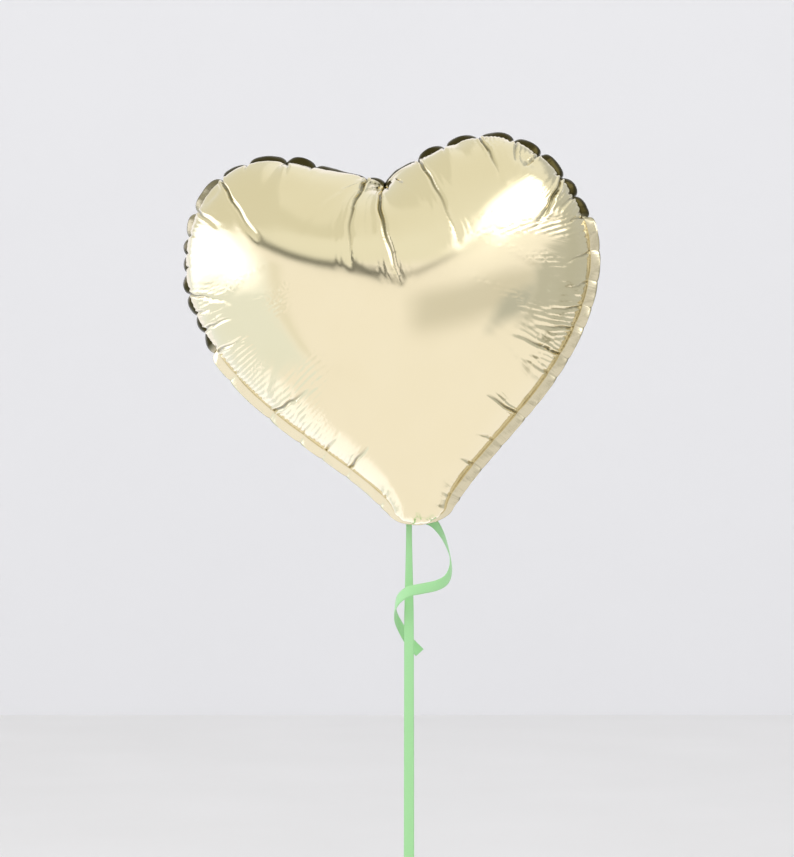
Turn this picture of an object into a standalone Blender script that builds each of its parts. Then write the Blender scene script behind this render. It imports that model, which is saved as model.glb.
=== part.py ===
"""Heart-shaped foil balloon on a curling ribbon.

Metres, +Z up, front of the heart towards -Y. The ribbon hangs plumb on the
Z axis, and the lowest point of its end loop is at Z = 0.
"""
import math

import bmesh
import bpy
import numpy as np
from mathutils import Matrix, Vector
from mathutils.geometry import interpolate_bezier

# ---------------------------------------------------------------- dimensions
# Inflated heart, measured in its own plane from the bottom of the heart.
CLEFT = (0.0, 0.3045)           # seam at the bottom of the notch
LOBE_TOP = (0.1030, 0.3488)     # seam at the top of a lobe
SHOULDER = (0.1858, 0.244)      # seam at the widest place
FLANK = (0.113, 0.107)          # seam half way down the flank
NECK = (0.0225, 0.012)          # seam where the inflation neck leaves
BOTTOM = (0.0, 0.0015)          # seam across the bottom of the neck
CENTRE = (0.0, 0.205)           # middle of the heart, on its axis
MARGIN_WIDTH = 0.010            # heat-sealed margin outside the seam
MARGIN_AT_NECK = 0.0035
NECK_BLEND = 0.022              # height over which the margin narrows
MARGIN_THICK = 0.0009
FILM = 0.0008                   # modelled film thickness
GAP = 0.0003                    # clearance between touching pieces
HALF_DEPTH = 0.095              # seam plane to the crown of one side
FULLNESS = 0.43                 # lower is boxier, 0.5 is elliptical
SCALLOPS = 40                   # puckers round the seam
SCALLOP_IN = 0.0020             # how far a pucker pulls the seam in
MARGIN_SWAY = 0.0022            # how far the margin waves out of its plane
LEAN = 0.062                    # sideways drift of the heart per height

# Neck of the heart, which curls backwards above the folded tail.
NECK_BEND_TOP = 0.030           # height where the neck starts to curl
NECK_BEND_RADIUS = 0.060

# Attitude of the heart.
HEART_TIP = (0.0145, -0.0226, 0.3750)
ROLL = math.radians(-5.6)       # about Y, top leans to the left
PITCH = math.radians(-8.0)      # about X, top leans back

# Inflation tail, in the heart's own axes: it folds up behind the neck.
FOLD = (0.0, 0.0085, 0.0005)    # middle of the fold, on its hinge line
TAIL_START = (0.0, 0.0125, 0.0020)
TAIL_TIED = (0.0, 0.0217, 0.0083)
TAIL_END = (0.0, 0.0560, 0.0440)
TAIL_WIDE = 0.034
TAIL_PINCHED = 0.0132           # width where the ribbon gathers it
TAIL_PLY = 0.0005
PLEAT_WAVES = 2.0               # folds across the gathered tail
PLEAT_HEIGHT = 0.0009

# Valve films inside the neck.
VALVE_WIDTH = 0.026
VALVE_BASE = 0.010              # height of their lower ends
VALVE_TOP = 0.082
VALVE_FILM = 0.0004

# Ribbon.
RIBBON_WIDTH = 0.0095
RIBBON_THICK = 0.0005
RIBBON_GATHERED = 0.0060        # width where it enters a knot
KNOT_RADIUS = 0.0055
KNOT_GAP = 0.0004
TIE_KNOT = (0.0, 0.0, 0.3803)
TIE_HEIGHT = 0.0060             # height of the wrap round the tail
TIE_THICK = 0.0007
TIE_DEPTH = 0.0028              # half the wrap's inner depth
TIE_SQUARENESS = 0.4            # 1 is an ellipse, lower is squarer
END_KNOT = (0.0, 0.0, 0.0460)
LOOP_HALF_WIDTH = 0.0130
LOOP_BOTTOM = 0.0003            # middle of the ribbon at the loop's lowest point

# Mesh fineness.
SAMPLES = SCALLOPS * 4
RINGS = 9
CURVE_STEPS = 60


# ---------------------------------------------------------------- utilities
def clear_scene():
    for old in list(bpy.data.objects):
        bpy.data.objects.remove(old, do_unlink=True)


def material(name, colour, roughness, metallic=0.0):
    made = bpy.data.materials.new(name)
    made.use_nodes = True
    shader = made.node_tree.nodes["Principled BSDF"]
    shader.inputs["Base Color"].default_value = (*colour, 1.0)
    shader.inputs["Roughness"].default_value = roughness
    shader.inputs["Metallic"].default_value = metallic
    return made


def add_object(name, vertices, faces, finish, parent=None):
    mesh = bpy.data.meshes.new(name)
    mesh.from_pydata([tuple(v) for v in vertices], [], [tuple(f) for f in faces])
    shell = bmesh.new()
    shell.from_mesh(mesh)
    bmesh.ops.recalc_face_normals(shell, faces=shell.faces)
    shell.to_mesh(mesh)
    shell.free()
    mesh.shade_smooth()
    mesh.set_sharp_from_angle(angle=math.radians(40))
    mesh.materials.append(finish)
    made = bpy.data.objects.new(name, mesh)
    bpy.context.collection.objects.link(made)
    made.parent = parent
    return made


# ---------------------------------------------------------------- heart outline
def bezier(start, leaving, arriving, end):
    """Points of one curve; leaving and arriving are its end tangents."""
    first = Vector((*start, 0.0))
    last = Vector((*end, 0.0))
    handle_a = first + Vector((*leaving, 0.0))
    handle_b = last - Vector((*arriving, 0.0))
    points = interpolate_bezier(first, handle_a, handle_b, last, CURVE_STEPS)
    return np.array([point.to_2d() for point in points])


def seam_half():
    """Right half of the seam, from the cleft round to the bottom."""
    curves = [
        bezier(CLEFT, (0.016, 0.018), (0.034, 0.0), LOBE_TOP),
        bezier(LOBE_TOP, (0.044, 0.0), (0.0, -0.056), SHOULDER),
        bezier(SHOULDER, (0.0, -0.050), (-0.036, -0.035), FLANK),
        bezier(FLANK, (-0.044, -0.043), (-0.004, -0.020), NECK),
        bezier(NECK, (-0.003, -0.006), (-0.009, 0.0), BOTTOM),
    ]
    return np.concatenate([curves[0]] + [curve[1:] for curve in curves[1:]])


def even_steps(line, count):
    """The line again with count points at equal spacing."""
    steps = np.linalg.norm(np.diff(line, axis=0), axis=1)
    along = np.concatenate([[0.0], np.cumsum(steps)])
    wanted = np.linspace(0.0, along[-1], count)
    return np.stack([np.interp(wanted, along, line[:, axis]) for axis in (0, 1)], axis=1)


def seam_loop():
    """Smooth seam as a closed loop, clockwise from the cleft."""
    right = even_steps(seam_half(), SAMPLES // 2 + 1)
    left = right[::-1] * (-1.0, 1.0)
    return np.concatenate([right, left[1:-1]])


def outward(loop):
    """Unit vectors that point out of a clockwise closed loop."""
    along = np.roll(loop, -1, axis=0) - np.roll(loop, 1, axis=0)
    along /= np.linalg.norm(along, axis=1)[:, None]
    return np.stack([-along[:, 1], along[:, 0]], axis=1)


def pucker(phase):
    """0 at the crown of a scallop, 1 at the notch between two."""
    return (0.5 - 0.5 * np.cos(phase)) ** 2


SEAM_PHASE = 2.0 * math.pi * SCALLOPS * np.arange(SAMPLES) / SAMPLES + math.pi


def puckered_seam():
    loop = seam_loop()
    return loop - outward(loop) * (SCALLOP_IN * pucker(SEAM_PHASE))[:, None]


# ---------------------------------------------------------------- foil panels
def panel_grid():
    """Points of one panel in the heart's plane: the middle, then each ring."""
    seam = puckered_seam()
    shares = 1.0 - (1.0 - np.arange(1, RINGS + 1) / RINGS) ** 1.8
    middle = np.array(CENTRE)
    rings = [middle + share * (seam - middle) for share in shares]
    return np.concatenate([[middle]] + rings)


def ring_faces(first_ring, rings):
    """Triangles between neighbouring rings of SAMPLES points."""
    here = np.arange(SAMPLES)
    after = (here + 1) % SAMPLES
    faces = []
    for ring in range(rings - 1):
        inner = first_ring + ring * SAMPLES
        outer = inner + SAMPLES
        faces.append(np.stack([inner + here, outer + here, outer + after], axis=1))
        faces.append(np.stack([inner + here, outer + after, inner + after], axis=1))
    return np.concatenate(faces)


def panel_faces():
    here = np.arange(SAMPLES)
    fan = np.stack([np.zeros(SAMPLES, dtype=int), 1 + here, 1 + (here + 1) % SAMPLES], axis=1)
    return np.concatenate([fan, ring_faces(1, RINGS)])


def film_height(points, faces):
    """Height of an evenly blown film that is fixed along the outer ring."""
    count = len(points)
    pull = np.zeros((count, count))
    push = np.zeros(count)
    for corner in range(3):
        here, left, right = (faces[:, (corner + turn) % 3] for turn in range(3))
        to_left = points[left] - points[here]
        to_right = points[right] - points[here]
        twice_area = np.abs(to_left[:, 0] * to_right[:, 1] - to_left[:, 1] * to_right[:, 0])
        weight = (to_left * to_right).sum(axis=1) / twice_area / 2.0
        np.add.at(pull, (left, left), weight)
        np.add.at(pull, (right, right), weight)
        np.add.at(pull, (left, right), -weight)
        np.add.at(pull, (right, left), -weight)
        np.add.at(push, here, twice_area / 6.0)
    free = np.arange(count - SAMPLES)
    height = np.zeros(count)
    height[free] = np.linalg.solve(pull[np.ix_(free, free)], push[free])
    return HALF_DEPTH * (height / height.max()) ** FULLNESS


def vertex_normals(points, faces):
    sides = np.cross(points[faces[:, 1]] - points[faces[:, 0]], points[faces[:, 2]] - points[faces[:, 0]])
    normals = np.zeros_like(points)
    for corner in range(3):
        np.add.at(normals, faces[:, corner], sides)
    return normals / np.linalg.norm(normals, axis=1)[:, None]


def bend_neck(points):
    """Curl the neck backwards and lean the rest sideways; y is the offset from the seam plane."""
    below = np.clip(NECK_BEND_TOP - points[:, 2], 0.0, None)
    angle = below / NECK_BEND_RADIUS
    bent = points.copy()
    bent[:, 0] -= LEAN * np.clip(points[:, 2] - NECK_BEND_TOP, 0.0, None)
    bent[:, 1] = NECK_BEND_RADIUS * (1.0 - np.cos(angle)) + points[:, 1] * np.cos(angle)
    bent[:, 2] += below - NECK_BEND_RADIUS * np.sin(angle) + points[:, 1] * np.sin(angle)
    return bent


def panel_surfaces():
    """Outer and inner surface of the front panel, and their triangles."""
    plane = panel_grid()
    faces = panel_faces()
    height = film_height(plane, faces)
    outer = np.stack([plane[:, 0], -GAP / 2.0 - height, plane[:, 1]], axis=1)
    normals = vertex_normals(outer, faces)
    if normals[0, 1] > 0.0:
        normals = -normals
    seam_out = outward(puckered_seam())
    normals[-SAMPLES:] = np.stack([seam_out[:, 0], np.zeros(SAMPLES), seam_out[:, 1]], axis=1)
    inner = outer - FILM * normals
    return outer, inner, faces


def add_panel(name, side, finish, parent):
    """Front panel for side 1, back panel for side -1."""
    outer, inner, faces = panel_surfaces()
    count = len(outer)
    here = count - SAMPLES + np.arange(SAMPLES)
    after = count - SAMPLES + (np.arange(SAMPLES) + 1) % SAMPLES
    rim = np.stack([here, after, after + count, here + count], axis=1)
    points = bend_neck(np.concatenate([outer, inner]) * (1.0, side, 1.0))
    shell = faces.tolist() + (faces + count).tolist() + rim.tolist()
    return add_object(name, points, shell, finish, parent)


# ---------------------------------------------------------------- margin
def add_margin(finish, parent):
    """Heat-sealed margin, waving in and out of the seam plane."""
    seam = puckered_seam()
    out = outward(seam_loop())
    narrow = np.clip(seam[:, 1] / NECK_BLEND, 0.0, 1.0)
    width = MARGIN_AT_NECK + (MARGIN_WIDTH - MARGIN_AT_NECK) * narrow
    sway = MARGIN_SWAY * np.sin(SEAM_PHASE / 2.0) * narrow
    rows = []
    for share in (0.0, 0.5, 1.0):
        line = seam + out * (GAP + share * width)[:, None]
        rows.append(np.stack([line[:, 0], share * sway, line[:, 1]], axis=1))
    face = np.concatenate(rows)
    half = np.array((0.0, MARGIN_THICK / 2.0, 0.0))
    points = bend_neck(np.concatenate([face - half, face + half]))
    count = len(face)
    cover = ring_faces(0, len(rows))
    here = np.arange(SAMPLES)
    after = (here + 1) % SAMPLES
    edges = []
    for first in (0, count - SAMPLES):
        near, far = first + here, first + after
        edges.append(np.stack([near, far, far + count, near + count], axis=1))
    faces = cover.tolist() + (cover + count).tolist() + np.concatenate(edges).tolist()
    return add_object("heat_seal_margin", points, faces, finish, parent)


# ---------------------------------------------------------------- strips
def smooth_route(knots, count):
    """Evenly spaced points of a smooth curve through the knots."""
    knots = np.array(knots)
    slopes = np.gradient(knots, axis=0)
    line = [knots[:1]]
    share = np.linspace(0.0, 1.0, CURVE_STEPS)[1:, None]
    for first in range(len(knots) - 1):
        start, end = knots[first], knots[first + 1]
        leave, arrive = slopes[first], slopes[first + 1]
        line.append(
            start * (1 + 2 * share) * (1 - share) ** 2
            + leave * share * (1 - share) ** 2
            + end * share ** 2 * (3 - 2 * share)
            + arrive * share ** 2 * (share - 1)
        )
    line = np.concatenate(line)
    along = np.concatenate([[0.0], np.cumsum(np.linalg.norm(np.diff(line, axis=0), axis=1))])
    wanted = np.linspace(0.0, along[-1], count)
    return np.stack([np.interp(wanted, along, line[:, axis]) for axis in range(line.shape[1])], axis=1)


def unit(rows):
    return rows / np.linalg.norm(rows, axis=1)[:, None]


def strip_solid(line, facing, widths, thick):
    """Closed flat strip along a line, its broad side turned to facing."""
    along = unit(np.gradient(line, axis=0))
    across = unit(np.cross(along, facing))
    normal = np.cross(across, along)
    half_width = across * (np.asarray(widths) / 2.0)[:, None]
    half_thick = normal * thick / 2.0
    corners = [
        line - half_width - half_thick,
        line + half_width - half_thick,
        line + half_width + half_thick,
        line - half_width + half_thick,
    ]
    return tube_solid(np.stack(corners, axis=1))


def tube_solid(sections):
    """Closed body through equal cross-sections: (stations, points, 3)."""
    stations, around, _ = sections.shape
    faces = []
    for station in range(stations - 1):
        for point in range(around):
            near = station * around + point
            far = station * around + (point + 1) % around
            faces.append((near, far, far + around, near + around))
    faces.append(tuple(range(around)))
    faces.append(tuple(range((stations - 1) * around, stations * around)))
    return sections.reshape(-1, 3), faces


def knot_taper(count, ends):
    """Ribbon widths that narrow towards the ends that enter a knot."""
    share = np.linspace(0.0, 1.0, count)
    reach = np.ones(count)
    if "start" in ends:
        reach = np.minimum(reach, share * count / 6.0)
    if "end" in ends:
        reach = np.minimum(reach, (1.0 - share) * count / 6.0)
    ease = reach * reach * (3.0 - 2.0 * reach)
    return RIBBON_GATHERED + (RIBBON_WIDTH - RIBBON_GATHERED) * ease


# ---------------------------------------------------------------- tail and valve
def tail_line(count):
    return smooth_route([TAIL_START, TAIL_TIED, np.add(TAIL_TIED, TAIL_END) / 2.0, TAIL_END], count)


def add_tail_ply(name, side, finish, parent):
    """One film of the tail; side -1 lies next to the heart."""
    line = tail_line(19)
    steps = np.linalg.norm(line - np.array(TAIL_TIED), axis=1)
    gather = np.exp(-((steps / 0.011) ** 4))
    widths = TAIL_WIDE + (TAIL_PINCHED - TAIL_WIDE) * gather
    waves = PLEAT_HEIGHT * (0.25 + 0.75 * gather)
    share = np.linspace(-1.0, 1.0, 25)
    x = widths[:, None] / 2.0 * share
    wave = PLEAT_WAVES * 2.0 * math.pi
    lift = waves[:, None] * np.cos(wave * share / 2.0)
    slope = -waves[:, None] * wave / 2.0 * np.sin(wave * share / 2.0) / (widths[:, None] / 2.0)
    along = unit(np.gradient(line, axis=0))
    normal = np.cross(along, (1.0, 0.0, 0.0))
    level = np.sqrt(1.0 + slope ** 2)
    faces_out = []
    for offset in (GAP / 2.0, GAP / 2.0 + TAIL_PLY):
        push = side * offset
        across = x - push * slope / level
        raised = lift + push / level
        points = line[:, None, :] + raised[:, :, None] * normal[:, None, :]
        points[:, :, 0] += across
        faces_out.append(points)
    sections = np.concatenate([faces_out[0], faces_out[1][:, ::-1]], axis=1)
    points, faces = tube_solid(sections)
    return add_object(name, points, faces, finish, parent)


def add_valve_film(name, side, finish, parent):
    """Flat film of the self-closing valve, in the seam plane."""
    rows = np.linspace(VALVE_BASE, VALVE_TOP, 13)
    near, far = GAP / 2.0, GAP / 2.0 + VALVE_FILM
    sections = []
    for row in rows:
        half = VALVE_WIDTH / 2.0
        corners = [(-half, side * near, row), (half, side * near, row)]
        corners += [(half, side * far, row), (-half, side * far, row)]
        sections.append(corners)
    sections = np.array(sections)
    bent = bend_neck(sections.reshape(-1, 3)).reshape(sections.shape)
    points, faces = tube_solid(bent)
    return add_object(name, points, faces, finish, parent)


# ---------------------------------------------------------------- ribbon
def add_tie(finish, parent):
    """Ribbon wrapped round the gathered tail, a closed band."""
    stations = 48
    turn = 2.0 * math.pi * np.arange(stations) / stations
    line = tail_line(19)
    nearest = np.argmin(np.linalg.norm(line - np.array(TAIL_TIED), axis=1))
    along = unit(np.gradient(line, axis=0))[nearest]
    normal = np.cross(along, (1.0, 0.0, 0.0))
    half_width = TAIL_PINCHED / 2.0 + GAP
    sections = []
    for angle in turn:
        c, s = math.cos(angle), math.sin(angle)
        round_x = math.copysign(abs(c) ** TIE_SQUARENESS, c)
        round_y = math.copysign(abs(s) ** TIE_SQUARENESS, s)
        ring = []
        for grow, lift in ((0.0, -0.5), (TIE_THICK, -0.5), (TIE_THICK, 0.5), (0.0, 0.5)):
            point = np.array(TAIL_TIED) + normal * round_y * (TIE_DEPTH + grow)
            point = point + along * lift * TIE_HEIGHT
            point[0] += round_x * (half_width + grow)
            ring.append(point)
        sections.append(ring)
    sections = np.array(sections)
    faces = []
    for station in range(stations):
        for point in range(4):
            near = station * 4 + point
            far = station * 4 + (point + 1) % 4
            after = 4 if station < stations - 1 else 4 - stations * 4
            faces.append((near, far, far + after, near + after))
    return add_object("ribbon_tie", sections.reshape(-1, 3), faces, finish, parent)


def add_knot(name, place, finish):
    """Small pulled knot: a ball with slanting furrows between its turns."""
    mesh = bpy.data.meshes.new(name)
    ball = bmesh.new()
    bmesh.ops.create_uvsphere(ball, u_segments=32, v_segments=18, radius=KNOT_RADIUS)
    for vertex in ball.verts:
        x, y, z = vertex.co / KNOT_RADIUS
        around = math.atan2(y, x)
        furrow = max(0.0, math.cos(3.0 * around + 4.0 * z)) ** 4 * (1.0 - z * z)
        vertex.co *= 1.0 - 0.14 * furrow
    ball.to_mesh(mesh)
    ball.free()
    mesh.shade_smooth()
    mesh.materials.append(finish)
    made = bpy.data.objects.new(name, mesh)
    bpy.context.collection.objects.link(made)
    made.location = place
    return made


def add_run(finish):
    """Taut ribbon from the end knot up to the knot on the tail."""
    reach = KNOT_RADIUS + KNOT_GAP
    low = END_KNOT[2] + reach
    high = TIE_KNOT[2] - reach
    count = 40
    line = np.stack([np.zeros(count), np.zeros(count), np.linspace(low, high, count)], axis=1)
    facing = np.tile((0.0, -1.0, 0.0), (count, 1))
    points, faces = strip_solid(line, facing, knot_taper(count, ("start", "end")), RIBBON_THICK)
    return add_object("ribbon_run", points, faces, finish)


# Route of the loose end: down to the right, round in front of the taut
# ribbon, and back behind it on the left.
CURL_ROUTE = [
    (0.0033, 0.0050, 0.3770),
    (0.0110, 0.0112, 0.3768),
    (0.0205, 0.0100, 0.3745),
    (0.0290, 0.0065, 0.3645),
    (0.0360, 0.0010, 0.3500),
    (0.0395, -0.0060, 0.3350),
    (0.0370, -0.0140, 0.3240),
    (0.0290, -0.0200, 0.3185),
    (0.0160, -0.0230, 0.3155),
    (0.0030, -0.0215, 0.3125),
    (-0.0070, -0.0150, 0.3055),
    (-0.0120, -0.0050, 0.2965),
    (-0.0125, 0.0040, 0.2870),
    (-0.0085, 0.0110, 0.2760),
    (-0.0020, 0.0140, 0.2650),
    (0.0080, 0.0130, 0.2545),
]
CURL_AXIS = (0.0130, -0.0030)


def add_curl(finish):
    """Loose curled end; its broad side faces away from the curl's axis."""
    count = 56
    line = smooth_route(CURL_ROUTE, count)
    facing = np.zeros_like(line)
    facing[:, :2] = line[:, :2] - CURL_AXIS
    widths = knot_taper(count, ("start",))
    points, faces = strip_solid(line, facing, widths, RIBBON_THICK)
    return add_object("ribbon_curl", points, faces, finish)


def add_end_loop(finish):
    """Loop below the end knot, for a hand, a hook or a weight."""
    reach = KNOT_RADIUS + KNOT_GAP
    lean = math.radians(28.0)
    start_x = reach * math.sin(lean)
    start_z = END_KNOT[2] - reach * math.cos(lean)
    side_z = LOOP_BOTTOM + LOOP_HALF_WIDTH
    right = [(start_x, start_z), (0.8 * LOOP_HALF_WIDTH, 0.5 * (start_z + side_z)), (LOOP_HALF_WIDTH, side_z)]
    arc = [math.radians(angle) for angle in (-30.0, -60.0)]
    right += [(LOOP_HALF_WIDTH * math.cos(a), side_z + LOOP_HALF_WIDTH * math.sin(a)) for a in arc]
    left = [(-x, z) for x, z in right[::-1]]
    knots = [(x, 0.0, z) for x, z in right + [(0.0, LOOP_BOTTOM)] + left]
    count = 44
    line = smooth_route(knots, count)
    middle = (0.0, 0.0, side_z)
    points, faces = strip_solid(line, line - middle, knot_taper(count, ("start", "end")), RIBBON_THICK)
    return add_object("end_loop", points, faces, finish)


# ---------------------------------------------------------------- assembly
def add_heart_frame():
    frame = bpy.data.objects.new("heart_frame", None)
    bpy.context.collection.objects.link(frame)
    turn = Matrix.Rotation(PITCH, 4, "X") @ Matrix.Rotation(ROLL, 4, "Y")
    frame.matrix_world = Matrix.Translation(HEART_TIP) @ turn
    return frame


def build():
    clear_scene()
    gold = material("champagne_foil", (0.83, 0.74, 0.52), 0.14, 1.0)
    seal = material("sealed_foil", (0.72, 0.62, 0.38), 0.25, 1.0)
    clear = material("valve_film", (0.80, 0.82, 0.80), 0.30)
    mint = material("mint_ribbon", (0.40, 0.78, 0.37), 0.45)
    frame = add_heart_frame()
    add_panel("front_panel", 1, gold, frame)
    add_panel("back_panel", -1, gold, frame)
    add_margin(seal, frame)
    add_valve_film("valve_film_front", -1, clear, frame)
    add_valve_film("valve_film_back", 1, clear, frame)
    add_tail_ply("tail_ply_inner", -1, gold, frame)
    add_tail_ply("tail_ply_outer", 1, gold, frame)
    add_tie(mint, frame)
    add_knot("tie_knot", TIE_KNOT, mint)
    add_run(mint)
    add_curl(mint)
    add_knot("end_knot", END_KNOT, mint)
    add_end_loop(mint)


build()
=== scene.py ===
import math

import bmesh
import bpy
import numpy as np
from mathutils import Matrix, Vector
from mathutils.geometry import delaunay_2d_cdt, interpolate_bezier


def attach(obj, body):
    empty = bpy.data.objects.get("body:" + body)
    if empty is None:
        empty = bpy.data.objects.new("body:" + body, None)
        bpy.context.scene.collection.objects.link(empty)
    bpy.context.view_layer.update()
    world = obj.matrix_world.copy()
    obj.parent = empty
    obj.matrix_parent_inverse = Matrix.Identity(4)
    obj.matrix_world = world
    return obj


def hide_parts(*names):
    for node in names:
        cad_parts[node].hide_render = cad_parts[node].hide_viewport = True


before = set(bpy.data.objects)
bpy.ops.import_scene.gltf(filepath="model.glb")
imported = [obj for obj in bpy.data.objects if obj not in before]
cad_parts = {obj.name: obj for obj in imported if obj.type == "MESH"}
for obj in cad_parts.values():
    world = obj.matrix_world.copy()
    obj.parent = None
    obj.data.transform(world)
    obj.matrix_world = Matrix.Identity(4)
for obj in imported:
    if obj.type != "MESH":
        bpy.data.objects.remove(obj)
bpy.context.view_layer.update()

# ---------------------------------------------------------------- sizes
# The heart's own axes: origin at its bottom, Z up its middle, front to -Y.
HEART_TIP = (0.0145, -0.0226, 0.3750)
ROLL = math.radians(-5.6)
PITCH = math.radians(-8.0)
LEAN = 0.062
NECK_BEND_TOP = 0.030
NECK_BEND_RADIUS = 0.060

# Seam of the inflated heart: start, leaving and arriving tangents, end.
CLEFT = (0.0, 0.3045)
LOBE_TOP = (0.1030, 0.3488)
SHOULDER = (0.1858, 0.244)
FLANK = (0.113, 0.107)
NECK = (0.0225, 0.012)
BOTTOM = (0.0, 0.0015)
SEAM_CURVES = [
    (CLEFT, (0.016, 0.018), (0.034, 0.0), LOBE_TOP),
    (LOBE_TOP, (0.044, 0.0), (0.0, -0.056), SHOULDER),
    (SHOULDER, (0.0, -0.050), (-0.036, -0.035), FLANK),
    (FLANK, (-0.044, -0.043), (-0.004, -0.020), NECK),
    (NECK, (-0.003, -0.006), (-0.009, 0.0), BOTTOM),
]
MARGIN_WIDTH = 0.010
MARGIN_AT_NECK = 0.0035
MARGIN_THICK = 0.0003

# Ribbon.
RIBBON_WIDTH = 0.0095
RIBBON_THICK = 0.0003
RIBBON_GATHERED = 0.0060
RIBBON_RIBS = 9
KNOT_RADIUS = 0.0055
KNOT_GAP = 0.0004
COLLAR_HEIGHT = 0.0043          # of a knot's last turns from its middle
COLLAR_RADIUS = 0.0021
COLLAR_THICK = 0.0010
COLLAR_STATIONS = 48
COLLAR_AROUND = 12
TIE_KNOT = (0.0, 0.0, 0.3803)
END_KNOT = (0.0, 0.0, 0.0460)
LOOP_HALF_WIDTH = 0.0130
LOOP_BOTTOM = 0.0003
CURL_AXIS = (0.0130, -0.0030)

# Inflation tail, in the heart's own axes.
TAIL_START = (0.0, 0.0125, 0.0020)
TAIL_TIED = (0.0, 0.0217, 0.0083)
TAIL_END = (0.0, 0.0560, 0.0440)
TAIL_ROUTE = [TAIL_START, TAIL_TIED, np.add(TAIL_TIED, TAIL_END) / 2.0, TAIL_END]
TAIL_WIDE = 0.034
TAIL_PINCHED = 0.0132
TAIL_PLY = 0.0003
TIE_DEPTH = 0.0028
TIE_HEIGHT = 0.0060

# ---------------------------------------------------------------- camera
CAMERA_AZIMUTH = math.radians(9.0)
CAMERA_DISTANCE = 2.6
PICTURE_HEIGHT = 0.784          # height of the view at the ribbon
PICTURE_LOW = 0.0685            # height of the picture's lower edge there
PICTURE_LEFT = 0.0110           # how far the view's middle is left of the ribbon
CAMERA_RIGHT = Vector((math.cos(CAMERA_AZIMUTH), math.sin(CAMERA_AZIMUTH), 0.0))
CAMERA_AHEAD = Vector((-math.sin(CAMERA_AZIMUTH), math.cos(CAMERA_AZIMUTH), 0.0))


def add_camera():
    data = bpy.data.cameras.new("camera")
    data.sensor_fit = "VERTICAL"
    data.sensor_height = 24.0
    data.lens = data.sensor_height * CAMERA_DISTANCE / PICTURE_HEIGHT
    camera = bpy.data.objects.new("camera", data)
    middle = Vector((0.0, 0.0, PICTURE_LOW + PICTURE_HEIGHT / 2.0)) - CAMERA_RIGHT * PICTURE_LEFT
    camera.location = middle - CAMERA_AHEAD * CAMERA_DISTANCE
    camera.rotation_euler = (math.pi / 2.0, 0.0, CAMERA_AZIMUTH)
    bpy.context.collection.objects.link(camera)
    bpy.context.scene.camera = camera


add_camera()


# ---------------------------------------------------------------- node helpers
def new_material(name):
    made = bpy.data.materials.new(name)
    made.use_nodes = True
    tree = made.node_tree
    return made, tree, tree.nodes["Principled BSDF"]


def node(tree, kind, **values):
    """A new node with its settings and its unlinked inputs given by name."""
    made = tree.nodes.new(kind)
    for name, value in values.items():
        if name in made.bl_rna.properties:
            setattr(made, name, value)
        else:
            made.inputs[name].default_value = value
    return made


def point_attribute(tree, name):
    return node(tree, "ShaderNodeAttribute", attribute_type="GEOMETRY", attribute_name=name)


def separated(tree, vector):
    """The X, Y and Z outputs of a vector output."""
    made = node(tree, "ShaderNodeSeparateXYZ")
    tree.links.new(vector, made.inputs["Vector"])
    return made.outputs


def math_node(tree, operation, first, second=0.5):
    """first is an output; second is an output or a number."""
    made = node(tree, "ShaderNodeMath", operation=operation)
    tree.links.new(first, made.inputs[0])
    if isinstance(second, (int, float)):
        made.inputs[1].default_value = second
    else:
        tree.links.new(second, made.inputs[1])
    return made.outputs[0]


def stretched(tree, source, scale):
    """A vector output scaled along its axes."""
    made = node(tree, "ShaderNodeMapping", Scale=scale)
    tree.links.new(source, made.inputs["Vector"])
    return made.outputs["Vector"]


def noise(tree, vector, scale, detail=2.0, roughness=0.5):
    made = node(tree, "ShaderNodeTexNoise", Scale=scale, Detail=detail, Roughness=roughness)
    tree.links.new(vector, made.inputs["Vector"])
    return made.outputs["Fac"]


def span(tree, source, low, high, start=0.3, stop=0.7):
    """Map a 0 to 1 output onto low to high."""
    made = node(tree, "ShaderNodeMapRange")
    made.inputs["From Min"].default_value = start
    made.inputs["From Max"].default_value = stop
    made.inputs["To Min"].default_value = low
    made.inputs["To Max"].default_value = high
    tree.links.new(source, made.inputs["Value"])
    return made.outputs["Result"]


def blend_colours(tree, factor, first, second):
    """From first at 0 to second at 1; each is an output or a colour."""
    made = node(tree, "ShaderNodeMix", data_type="RGBA")
    tree.links.new(factor, made.inputs["Factor"])
    for name, colour in (("A", first), ("B", second)):
        if isinstance(colour, tuple):
            made.inputs[name].default_value = (*colour, 1.0)
        else:
            tree.links.new(colour, made.inputs[name])
    return made.outputs["Result"]


def bump(tree, height, distance, under=None):
    made = node(tree, "ShaderNodeBump", Distance=distance)
    tree.links.new(height, made.inputs["Height"])
    if under is not None:
        tree.links.new(under, made.inputs["Normal"])
    return made.outputs["Normal"]


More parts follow.
